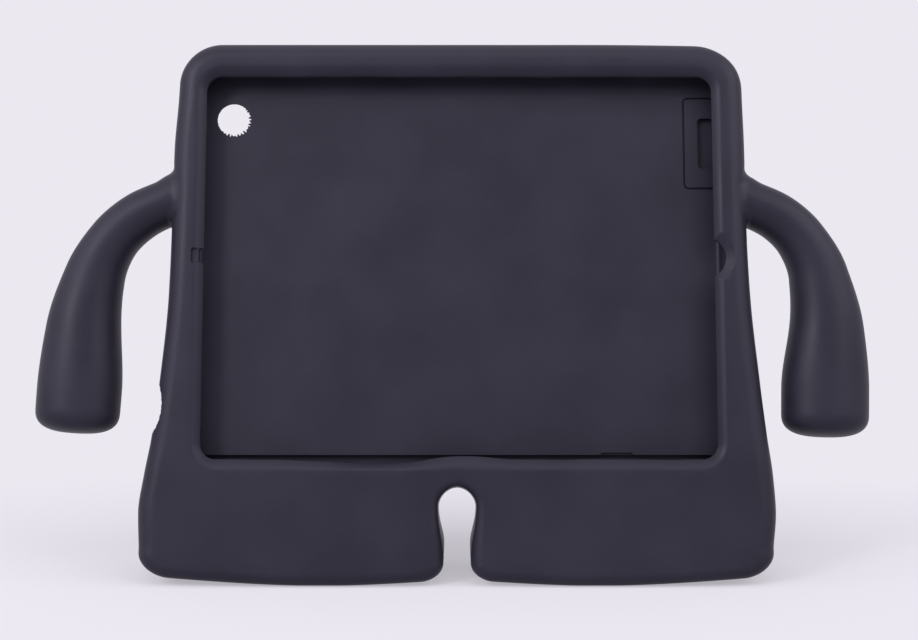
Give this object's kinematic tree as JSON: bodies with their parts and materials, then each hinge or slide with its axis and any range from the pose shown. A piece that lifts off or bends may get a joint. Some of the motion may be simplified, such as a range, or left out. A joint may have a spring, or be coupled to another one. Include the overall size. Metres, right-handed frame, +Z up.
{
  "type": "kids tablet case",
  "caption": "Moulded foam tablet case with a rounded rim, two curved arms at the sides and two broad feet that let it stand.",
  "frame": {"origin": "middle of the bounding box in plan, on the ground plane under the soles", "axes": "+X to the right of someone who looks at the screen side, +Y from the screen side to the back, +Z up"},
  "size_m": [0.3832, 0.0756, 0.2433],
  "materials": {
    "foam": "matt, nearly black moulded foam with a soft sheen"
  },
  "bodies": {
    "root": {"case_body": "foam"}
  },
  "joints": []
}
